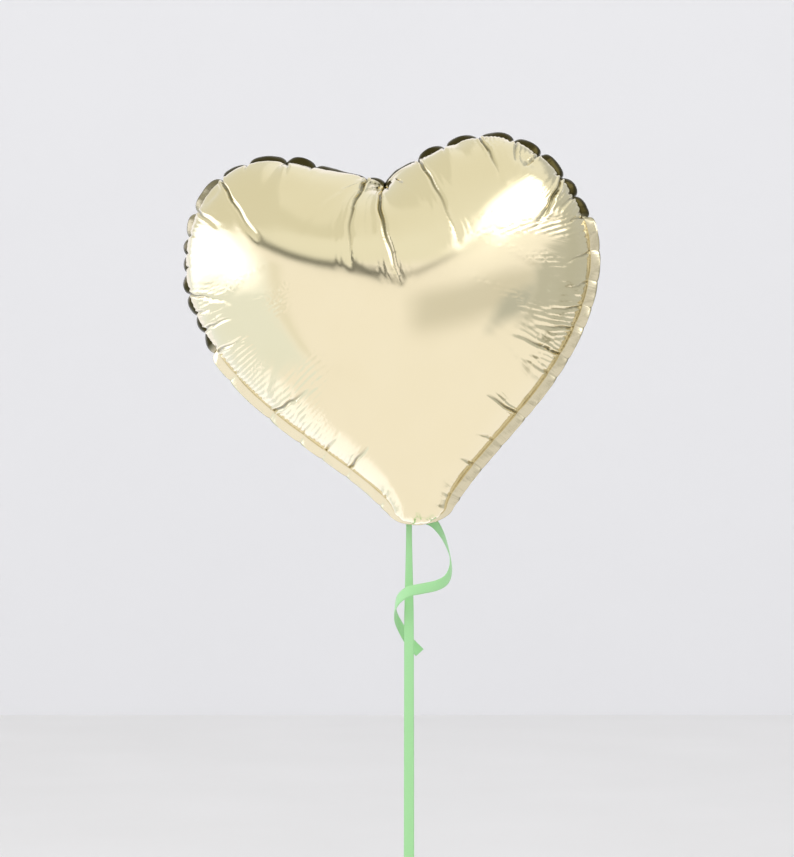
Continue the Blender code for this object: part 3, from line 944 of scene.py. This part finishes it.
def vertex_normals(points, faces):
    """Area-weighted normals; the welded films are treated one at a time."""
    sides = np.cross(points[faces[:, 1]] - points[faces[:, 0]], points[faces[:, 2]] - points[faces[:, 0]])
    normals = np.zeros_like(points)
    for corner in range(3):
        add_rows(normals, faces[:, corner], sides)
    return normals / np.maximum(np.linalg.norm(normals, axis=1), 1e-9)[:, None]


# ---------------------------------------------------------------- whole envelope
def shift_in_plane(placed, place, stations, moves, share, total):
    """Move the film by its share of the moves given at stations along the seam."""
    for axis, component in ((0, 0), (2, 1)):
        placed[:, axis] += share * np.interp(place, stations, moves[:, component], period=total)


def seam_correction(placed, edge_points, place, distance, total, target):
    """Move the film near the weld so that its seam has the target outline."""
    order = edge_points[np.argsort(place[edge_points])]
    wanted_along = np.linspace(0.0, total, len(target) + 1)
    closed = np.concatenate([target, target[:1]])
    stations = place[order]
    error = at_lengths(stations, wanted_along, closed) - placed[order][:, [0, 2]]
    shift_in_plane(placed, place, stations, error, np.exp(-((distance / 60.0) ** 2)), total)
    return placed


def gathered_cleft(seam):
    """The seam where the puckered film holds it up, and a little aside, in the cleft."""
    share = np.exp(-((seam[:, 0] / CLEFT_SPREAD) ** 2)) * (seam[:, 1] > 0.0)
    return seam + share[:, None] * np.array(CLEFT_SHIFT)


def inflate():
    """Film points in millimetres, triangles, the weld coordinates, and the painted shade beside the weld
    and in the pleats.
    """
    target = centred(seam_half())
    cut, flat, placed, films = find_cut(target)
    outline = whole(even_steps(cut, EDGE_POINTS))
    total = length_along(outline)[-1]
    for steps in (120, 60):
        flat, placed, films = refined(flat, placed, films, np.ones(len(flat), dtype=bool))
        placed = Envelope(flat, films).settle(placed, steps)
    distance, place = edge_distance(flat, outline)
    plain = np.ones((len(seam_pleats()), 2))
    relief = np.abs(pleat_height(flat, outline, plain))
    relief += np.abs(striation_height(place, distance, total, 20))
    marked = (distance < FINE_BAND) | (relief > FINE_RELIEF)
    flat, placed, films = refined(flat, placed, films, marked)
    relief = np.abs(pleat_height(flat, outline, plain))
    flat, placed, films = refined(flat, placed, films, relief > FINEST_RELIEF)
    distance, place = edge_distance(flat, outline)
    welded = np.intersect1d(films[0], films[1])
    held = np.zeros(len(flat), dtype=bool)
    held[welded] = True
    distance[welded] = 0.0
    placed = evened(placed, films, held, 3)
    placed[:, 2] -= (placed[welded, 2].max() + placed[welded, 2].min()) / 2.0
    seam = gathered_cleft(whole(even_steps(target, EDGE_POINTS)))
    placed = seam_correction(placed, welded, place, distance, total, seam)
    placed, shade = pleated(flat, placed, films, outline, place, distance, total)
    placed[:, 2] += 1000.0 * (LOBE_TOP[1] + BOTTOM[1]) / 2.0
    return cut, placed, films, welded, place, distance, shade, total


def pleated(flat, placed, films, outline, place, distance, total):
    """Pull the seam in at its notches, press the pleats into both films, and give the painted shade
    beside the weld and in the pleats' valleys.
    """
    seam_out = outwards(outline)
    along = length_along(outline)[:-1]
    notch = notches(place, total)
    near = np.exp(-((distance / NOTCH_REACH) ** 2))
    pull = CROWN_RISE - NOTCH_DEPTH * notch
    shift_in_plane(placed, place, along, seam_out, pull * near, total)
    # Painted shade: a dark line beside the weld, broken into patches that come and go.
    shade = 0.7 * np.exp(-((distance / 1.8) ** 2)) * np.interp(place / total, *zip(*WELD_SHADE))
    random = np.random.default_rng(11)
    patches = random.uniform(0.1, 1.0, WELD_PATCHES)
    patch = place / total * WELD_PATCHES
    shade *= np.interp(patch, np.arange(WELD_PATCHES), patches, period=WELD_PATCHES)
    for number, film in enumerate(films):
        changes = np.ones((len(seam_pleats()), 2))
        if number:
            changes = random.uniform((0.6, 0.7), (1.15, 1.1), changes.shape)
        inner = np.setdiff1d(np.unique(film), np.intersect1d(films[0], films[1]))
        height = pleat_height(flat[inner], outline, changes)
        # Painted shade in the pleats' valleys, deeper where the valley is deeper.
        shade[inner] = np.maximum(shade[inner], 0.9 * np.clip(-0.45 - height, 0.0, 1.0))
        height += striation_height(place[inner], distance[inner], total, 20 + number)
        height += dent_height(place[inner], distance[inner], total)
        height += 0.9 * (1.0 - notch[inner]) * np.exp(-(((distance[inner] - 9.0) / 9.0) ** 2))
        height *= np.clip(distance[inner] / 2.5, 0.0, 1.0)
        height -= CLEFT_GROOVE * groove(flat[inner], outline[0])
        placed[inner] += height[:, None] * vertex_normals(placed, film)[inner]
    return placed, shade


def groove(flat, cleft):
    """Broad valley that runs down from the cleft between the lobes."""
    below = np.clip(cleft[1] - flat[:, 1], -30.0, None)
    width = 11.0 + 0.10 * np.clip(below, 0.0, None)
    along = np.clip(1.0 - below / 125.0, 0.0, 1.0)
    across = flat[:, 0] - 0.13 * below
    return np.exp(-np.abs(across) / width) * along ** 1.3 * np.clip(below / 8.0, 0.0, 1.0)


# ---------------------------------------------------------------- margin
# How far the margin tilts back from the heart's plane, in degrees, against
# the share of the whole seam.
MARGIN_TILT = [
    (0.0, 56.0),
    (0.035, 44.0),
    (0.06, 36.0),
    (0.20, 40.0),
    (0.214, 8.0),
    (0.30, 4.0),
    (0.50, 10.0),
    (0.71, 6.0),
    (0.73, 50.0),
    (0.79, 48.0),
    (0.815, 22.0),
    (0.86, 24.0),
    (0.875, 36.0),
    (0.94, 36.0),
    (0.965, 58.0),
    (1.0, 66.0),
]
# Where painted shade darkens the margin, against the share of the seam.
MARGIN_SHADING = [
    (0.0, 1.0),
    (0.204, 1.0),
    (0.212, 0.25),
    (0.47, 0.25),
    (0.52, 0.0),
    (0.712, 0.0),
    (0.722, 1.0),
    (0.80, 1.0),
    (0.82, 0.6),
    (0.85, 0.6),
    (0.87, 1.0),
    (1.0, 1.0),
]
# How dark the painted shade line beside the weld is, against the share of the seam.
WELD_SHADE = [
    (0.0, 0.15),
    (0.20, 0.15),
    (0.22, 0.3),
    (0.48, 0.3),
    (0.52, 0.15),
    (0.62, 0.15),
    (0.64, 0.8),
    (0.70, 0.8),
    (0.72, 0.15),
    (1.0, 0.15),
]
WELD_PATCHES = 90               # the line comes and goes this often
MARGIN_ROWS = 7
NECK_BLEND = 22.0               # height over which the margin widens


def margin_grid(placed, welded, place, total):
    """Rows of points across the margin, ordered round the seam."""
    order = welded[np.argsort(place[welded])]
    seam = placed[order]
    stations = place[order]
    smooth = seam.copy()
    for _ in range(4):
        smooth = (np.roll(smooth, 1, axis=0) + smooth + np.roll(smooth, -1, axis=0)) / 3.0
    along = unit(np.roll(smooth, -1, axis=0) - np.roll(smooth, 1, axis=0))
    out = np.cross(along, (0.0, 1.0, 0.0))
    out *= np.sign((out * (seam - seam.mean(axis=0))).sum())
    out = unit(out)
    notch = notches(stations, total)
    tilt = np.interp(stations / total, *zip(*MARGIN_TILT))
    curl = 7.0 * np.sin(stations / 17.0) + 4.0 * np.sin(stations / 7.0 + 1.0)
    open_share = np.cos(np.radians(tilt + curl)) * (1.0 - notch) + 0.10 * notch
    fold = np.arccos(np.clip(open_share, 0.0, 1.0))
    widening = np.clip(seam[:, 2] / NECK_BLEND, 0.0, 1.0)
    width = 1000.0 * (MARGIN_AT_NECK + (MARGIN_WIDTH - MARGIN_AT_NECK) * widening)
    rows = []
    for share in np.linspace(0.0, 1.0, MARGIN_ROWS):
        bend = fold * (0.55 + 0.45 * share)
        step = width * share
        wave = 0.35 * share * np.sin(stations / 2.9 + 3.0 * share) * (1.0 - notch)
        row = seam + out * (step * np.cos(bend))[:, None]
        row[:, 1] += step * np.sin(bend) + wave
        rows.append(row)
    return np.stack(rows, axis=1), stations


def bend_neck(points):
    """Curl the neck backwards and lean the rest sideways; y is the offset from the seam plane."""
    below = np.clip(NECK_BEND_TOP - points[:, 2], 0.0, None)
    angle = below / NECK_BEND_RADIUS
    bent = points.copy()
    bent[:, 0] -= LEAN * np.clip(points[:, 2] - NECK_BEND_TOP, 0.0, None)
    bent[:, 1] = NECK_BEND_RADIUS * (1.0 - np.cos(angle)) + points[:, 1] * np.cos(angle)
    bent[:, 2] += below - NECK_BEND_RADIUS * np.sin(angle) + points[:, 1] * np.sin(angle)
    return bent


HEART = Matrix.Translation(HEART_TIP) @ Matrix.Rotation(PITCH, 4, "X") @ Matrix.Rotation(ROLL, 4, "Y")


def in_row(points):
    """Points of the heart's own axes in the row frame."""
    matrix = np.array(HEART)
    return points @ matrix[:3, :3].T + matrix[:3, 3]


def place_heart(points):
    """Millimetres in the heart's plane to metres in the row frame."""
    return in_row(bend_neck(points / 1000.0))


def add_film(name, placed, film, weld, replaced, finish):
    used, numbers = np.unique(film, return_inverse=True)
    faces = numbers.reshape(film.shape)
    made = add_piece(name, place_heart(placed[used]), faces, finish, "heart", {"weld": weld[used]})
    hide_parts(replaced)
    return made


def add_margin(placed, welded, place, total, finish):
    """The two welded films outside the seam, as one thin closed strip."""
    grid, stations = margin_grid(placed, welded, place, total)
    count = len(grid)
    across = np.gradient(grid, axis=1)
    along = np.roll(grid, -1, axis=0) - np.roll(grid, 1, axis=0)
    normal = unit(np.cross(along, across))
    half = 500.0 * MARGIN_THICK
    sections = np.concatenate([grid - half * normal, (grid + half * normal)[:, ::-1]], axis=1)
    steps = np.linspace(0.0, MARGIN_WIDTH, MARGIN_ROWS)
    steps = np.concatenate([steps, steps[::-1]])
    # Painted shade on the margin along the seam, and a narrow painted shade at its inner edge by the
    # weld.
    painted_shade = np.interp(stations / total, *zip(*MARGIN_SHADING))[:, None]
    painted_shade = np.maximum(painted_shade, 0.25 * np.exp(-((steps / 0.0012) ** 2))[None, :])
    weld = np.stack(np.broadcast_arrays(stations[:, None] / 1000.0, -steps[None, :], painted_shade), axis=2)
    faces = tube_faces(count, 2 * MARGIN_ROWS, closed=True)
    points = place_heart(sections.reshape(-1, 3))
    made = add_piece("heat_sealed_margin", points, faces, finish, "heart", {"weld": weld.reshape(-1, 3)})
    point_outwards(made)
    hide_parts("heat_seal_margin")
    return made


def add_envelope(foil, sealed):
    cut, placed, films, welded, place, distance, shade, total = inflate()
    # The third value is the painted shade that darkens the foil's colour.
    weld = np.stack([place / 1000.0, distance / 1000.0, shade], axis=1)
    margin = add_margin(placed, welded, place, total, sealed)
    front = add_film("front_foil", placed, films[0], weld, "front_panel", foil)
    back = add_film("back_foil", placed, films[1], weld, "back_panel", foil)
    outline = whole(cut) / 1000.0
    outline = outline + outwards(outline) * MARGIN_WIDTH


# ---------------------------------------------------------------- foil finish
def foil_material(name, light, deep, smooth, rough, painted_shade):
    """Metallised film: bright, with faint mottling, fine lines square to the weld, and painted shade
    mixed in by the attribute's third value.
    """
    made, tree, shader = new_material(name)
    weld = point_attribute(tree, "weld").outputs["Vector"]
    place = node(tree, "ShaderNodeTexCoord").outputs["Object"]
    mottle = noise(tree, place, 26.0, 3.0)
    parts = separated(tree, weld)
    colour = blend_colours(tree, mottle, light, deep)
    # Painted shade: the colour darkened towards the given shade colour.
    darker = blend_colours(tree, parts["Z"], colour, painted_shade)
    tree.links.new(darker, shader.inputs["Base Color"])
    haze = noise(tree, place, 9.0, 4.0, 0.6)
    tree.links.new(span(tree, haze, smooth, rough), shader.inputs["Roughness"])
    shader.inputs["Metallic"].default_value = 1.0
    lines = noise(tree, stretched(tree, weld, (420.0, 22.0, 1.0)), 1.0, 3.0)
    inward = math_node(tree, "ABSOLUTE", parts["Y"])
    near = span(tree, inward, 1.0, 0.0, 0.0, 0.075)
    height = math_node(tree, "MULTIPLY", lines, near)
    ripple = bump(tree, noise(tree, place, 38.0, 2.0), 0.00005)
    tree.links.new(bump(tree, height, 0.0003, under=ripple), shader.inputs["Normal"])
    return made


# Colours of painted shade: the first for the films' creases and the line beside the weld, the second for
# the margin's dark stretches.
CREASE_SHADE_COLOUR = (0.17, 0.15, 0.07)
MARGIN_SHADE_COLOUR = (0.055, 0.045, 0.014)
BRIGHT_FILM = (0.885, 0.790, 0.535), (0.865, 0.765, 0.505)
SEALED_FILM = (0.90, 0.82, 0.58), (0.85, 0.76, 0.51)
FOIL = foil_material("champagne_foil_bright", *BRIGHT_FILM, 0.09, 0.15, CREASE_SHADE_COLOUR)
SEALED = foil_material("champagne_foil_sealed", *SEALED_FILM, 0.16, 0.25, MARGIN_SHADE_COLOUR)

add_envelope(FOIL, SEALED)


# ---------------------------------------------------------------- tail
def tail_ply(name, side, replaced, seed):
    """One crumpled film of the inflation tail; side -1 lies next to the heart."""
    rows, columns = 90, 61
    line = smooth_route(TAIL_ROUTE, rows)
    steps = np.linalg.norm(line - np.array(TAIL_TIED), axis=1)
    gather = np.exp(-((steps / 0.011) ** 4))
    widths = TAIL_WIDE + (TAIL_PINCHED - TAIL_WIDE) * gather
    share = np.linspace(-1.0, 1.0, columns)
    along = unit(np.gradient(line, axis=0))
    normal = np.cross(along, (1.0, 0.0, 0.0))
    spread = np.random.default_rng(seed)
    phase = spread.uniform(0.0, 2.0 * math.pi, 4)
    fall = np.linspace(0.0, 1.0, rows)[:, None]
    lift = (0.0002 + 0.0006 * gather)[:, None] * np.cos(2.0 * math.pi * share)
    free = (1.0 - gather)[:, None]
    lift = lift + free * 0.0007 * np.sin(9.0 * share + 3.0 * fall + phase[0])
    lift = lift + free * 0.0004 * np.sin(17.0 * share - 9.0 * fall + phase[1])
    lift = lift + 0.00014 * np.sin(41.0 * share + 13.0 * fall + phase[2]) * np.sin(23.0 * fall + phase[3])
    middle = line[:, None, :] + lift[:, :, None] * normal[:, None, :]
    middle[:, :, 0] += widths[:, None] / 2.0 * share
    offset = side * (0.00015 + TAIL_PLY / 2.0 + 0.0002 * free[:, 0])
    sections = []
    for reach in (-0.5, 0.5):
        layer = middle + (offset + reach * TAIL_PLY)[:, None, None] * normal[:, None, :]
        sections.append(layer if reach < 0.0 else layer[:, ::-1])
    sections = np.concatenate(sections, axis=1)
    points = in_row(sections.reshape(-1, 3))
    weld = np.zeros((rows, 2 * columns, 3))
    weld[:, :, 0] = np.concatenate([share, share[::-1]])[None, :] * 0.017
    weld[:, :, 1] = 0.02 + 0.05 * fall
    faces = tube_faces(rows, 2 * columns)
    made = add_piece(name, points, faces, FOIL, "tail", {"weld": weld.reshape(-1, 3)})
    point_outwards(made)
    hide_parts(replaced)
    return made


def tie_band(line_point, along, normal, tilt, grow, thick, height):
    """One turn of ribbon round the gathered tail: closed band sections."""
    stations = 96
    sections = []
    strip = []
    for station in range(stations):
        angle = 2.0 * math.pi * station / stations
        c, s = math.cos(angle), math.sin(angle)
        round_x = math.copysign(abs(c) ** 0.45, c)
        round_y = math.copysign(abs(s) ** 0.45, s)
        shift = math.tan(tilt) * c * TAIL_PINCHED / 2.0
        ring = []
        for number in range(10):
            rise = number / 9.0 - 0.5
            for outer in (0.0, 1.0):
                bulge = grow + outer * thick * (1.0 - 1.2 * rise * rise)
                point = np.array(line_point) + normal * round_y * (TIE_DEPTH + bulge)
                point = point + along * (rise * height + shift)
                point[0] += round_x * (TAIL_PINCHED / 2.0 + bulge)
                ring.append((outer, rise, point))
        inner = [entry for entry in ring if entry[0] == 0.0]
        outer_side = [entry for entry in ring if entry[0] == 1.0][::-1]
        sections.append([entry[2] for entry in inner + outer_side])
        strip.append([(entry[1], 0.05 * angle / math.pi, 0.0) for entry in inner + outer_side])
    return np.array(sections), np.array(strip)


def add_tie():
    """Ribbon wrapped twice round the gathered tail, its turns crossing."""
    line = smooth_route(TAIL_ROUTE, 60)
    nearest = np.argmin(np.linalg.norm(line - np.array(TAIL_TIED), axis=1))
    along = unit(np.gradient(line, axis=0))[nearest]
    normal = np.cross(along, (1.0, 0.0, 0.0))
    points = []
    strips = []
    faces = []
    for tilt, grow in ((math.radians(7.0), 0.00025), (math.radians(-8.0), 0.00060)):
        sections, strip = tie_band(TAIL_TIED, along, normal, tilt, grow, 0.0003, 0.8 * TIE_HEIGHT)
        first = sum(len(part) for part in points)
        stations, around, _ = sections.shape
        turn = tube_faces(stations, around, closed=True)
        faces += [[first + corner for corner in face] for face in turn]
        points.append(sections.reshape(-1, 3))
        strips.append(strip.reshape(-1, 3))
    attributes = {"strip": np.concatenate(strips)}
    made = add_piece("ribbon_wraps", in_row(np.concatenate(points)), faces, MINT, "tail", attributes)
    point_outwards(made)
    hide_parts("ribbon_tie")


add_tie()
tail_ply("tail_film_inner", -1, "tail_ply_inner", 31)
tail_ply("tail_film_outer", 1, "tail_ply_outer", 32)


# ---------------------------------------------------------------- valve films
def valve_material():
    """Milky unmetallised film with faint streaks."""
    made, tree, shader = new_material("valve_film_milky")
    place = node(tree, "ShaderNodeTexCoord").outputs["Object"]
    streaks = noise(tree, stretched(tree, place, (220.0, 220.0, 18.0)), 1.0, 3.0)
    colour = blend_colours(tree, streaks, (0.78, 0.80, 0.78), (0.86, 0.88, 0.86))
    tree.links.new(colour, shader.inputs["Base Color"])
    tree.links.new(span(tree, streaks, 0.24, 0.40), shader.inputs["Roughness"])
    tree.links.new(bump(tree, streaks, 0.0001), shader.inputs["Normal"])
    shader.inputs["Transmission Weight"].default_value = 0.35
    return made


VALVE = valve_material()
for name in ("valve_film_front", "valve_film_back"):
    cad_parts[name].material_slots[0].material = VALVE


# ---------------------------------------------------------------- stage
FLOOR_HEIGHT = -0.245
WALL_DISTANCE = 4.4
WALL_TOP = 5.0
STAGE_REACH = 9.0               # to either side, and towards the camera


def plain_material(name, colour, roughness):
    made, tree, shader = new_material(name)
    place = node(tree, "ShaderNodeTexCoord").outputs["Object"]
    grain = noise(tree, place, 3.0, 4.0)
    darker = tuple(0.985 * part for part in colour)
    tree.links.new(blend_colours(tree, grain, colour, darker), shader.inputs["Base Color"])
    tree.links.new(span(tree, grain, roughness, roughness + 0.1), shader.inputs["Roughness"])
    return made


def add_plane(name, corners, finish):
    mesh = bpy.data.meshes.new(name)
    mesh.from_pydata(corners, [], [(0, 1, 2, 3)])
    mesh.materials.append(finish)
    made = bpy.data.objects.new(name, mesh)
    made.visible_glossy = False
    bpy.context.collection.objects.link(made)


def add_stage():
    low = Vector((0.0, 0.0, FLOOR_HEIGHT))
    high = Vector((0.0, 0.0, WALL_TOP))
    side = CAMERA_RIGHT * STAGE_REACH
    near = CAMERA_AHEAD * -STAGE_REACH
    far = CAMERA_AHEAD * WALL_DISTANCE
    floor = [low - side + near, low + side + near, low + side + far, low - side + far]
    wall = [low - side + far, low + side + far, high + side + far, high - side + far]
    add_plane("floor", floor, plain_material("floor_paint", (0.74, 0.735, 0.73), 0.45))
    add_plane("wall", wall, plain_material("wall_paint", (0.85, 0.85, 0.865), 0.8))


add_stage()


# ---------------------------------------------------------------- light
def sky_patch(tree, direction, azimuth, elevation, half_width, half_height, softness, roll):
    """1 inside a soft-edged window of the sky, 0 outside; angles in degrees.

    Azimuth 0 is in front of the heart and positive to its right.
    """
    for axis, angle in (("Z_AXIS", -azimuth), ("X_AXIS", elevation), ("Y_AXIS", roll)):
        turned = node(tree, "ShaderNodeVectorRotate", rotation_type=axis)
        turned.inputs["Angle"].default_value = math.radians(angle)
        tree.links.new(direction, turned.inputs["Vector"])
        direction = turned.outputs["Vector"]
    parts = separated(tree, direction)
    ahead = math_node(tree, "MAXIMUM", math_node(tree, "MULTIPLY", parts["Y"], -1.0), 0.02)
    inside = None
    for side, half in (("X", half_width), ("Z", half_height)):
        slope = math_node(tree, "ABSOLUTE", math_node(tree, "DIVIDE", parts[side], ahead))
        limit = math.tan(math.radians(half))
        edge = math.tan(math.radians(half + softness)) - limit
        fade = span(tree, slope, 1.0, 0.0, limit - edge / 2.0, limit + edge / 2.0)
        inside = fade if inside is None else math_node(tree, "MULTIPLY", inside, fade)
    return inside


# Sky windows: azimuth, elevation, half width, half height, softness and roll
# in degrees, then the light that they send.
SKY_WINDOWS = [
    (-142, -34, 44, 20, 12, 0, (1.26, 1.28, 1.45)),
    (36, 5, 30, 10, 9, 0, (0.76, 0.755, 0.76)),
    (106, 0, 40, 20, 9, 0, (0.58, 0.60, 0.61)),
    (126, 8, 26, 28, 9, 0, (0.56, 0.58, 0.58)),
    (113, -20, 9, 5, 6, 0, (0.40, 0.40, 0.36)),
    (57, -5, 11, 7, 7, 0, (0.56, 0.59, 0.62)),
    (-28, 31.5, 27, 2.5, 4, -18, (0.08, 0.09, 0.08)),
    (8.5, 27, 12, 1.2, 4, 37, (0.34, 0.34, 0.32)),
    (-96, 0, 45, 34, 5, 0, (0.92, 0.99, 1.07)),
    (-47, 2, 1.4, 24, 4, 0, (0.84, 0.84, 0.80)),
    (-94, 14, 34, 12, 14, 12, (2.3, 2.3, 2.6)),
    (-116, 48, 42, 22, 4, 26, (0.79, 0.79, 0.72)),
    (62, 34, 34, 9, 16, 0, (1.20, 1.20, 1.25)),
    (26, 44, 9, 2.5, 5, 50, (1.9, 1.9, 2.1)),
    (70, 50, 25, 12, 9, 0, (2.8, 2.8, 2.9)),
    (144, 24, 22, 18, 8, 0, (0.58, 0.60, 0.60)),
]
STUDIO_LIGHT = (1.08, 1.08, 1.095)


def add_world():
    """Pale room that only mirroring surfaces see, and an even light for the rest."""
    world = bpy.data.worlds.new("studio")
    world.use_nodes = True
    tree = world.node_tree
    direction = node(tree, "ShaderNodeTexCoord").outputs["Generated"]
    height = separated(tree, direction)["Z"]
    high = span(tree, height, 0.0, 1.0, 0.50, 0.58)
    sky = blend_colours(tree, high, (1.03, 1.02, 1.07), (0.93, 0.94, 0.91))
    zenith = span(tree, height, 0.0, 1.0, 0.80, 1.0)
    sky = blend_colours(tree, zenith, sky, (0.87, 0.87, 0.81))
    for *angles, colour in SKY_WINDOWS:
        sky = blend_colours(tree, sky_patch(tree, direction, *angles), sky, colour)
    mirrored = node(tree, "ShaderNodeLightPath").outputs["Is Glossy Ray"]
    lit = blend_colours(tree, mirrored, STUDIO_LIGHT, sky)
    tree.links.new(lit, tree.nodes["Background"].inputs["Color"])
    bpy.context.scene.world = world


def add_softbox(name, azimuth, elevation, distance, size, power):
    """Large soft light that shapes the matte pieces and stays out of the foil."""
    light = bpy.data.lights.new(name, "AREA")
    light.size = size
    light.energy = power
    made = bpy.data.objects.new(name, light)
    a, e = math.radians(azimuth), math.radians(elevation)
    offset = Vector((math.sin(a) * math.cos(e), -math.cos(a) * math.cos(e), math.sin(e))) * distance
    made.location = Vector((0.0, 0.0, 0.5)) + offset
    made.rotation_euler = (-offset).to_track_quat("-Z", "Y").to_euler()
    made.visible_glossy = False
    bpy.context.collection.objects.link(made)


add_world()
add_softbox("key_light", -50, 40, 2.4, 1.6, 14)
bpy.context.scene.view_settings.view_transform = "Standard"
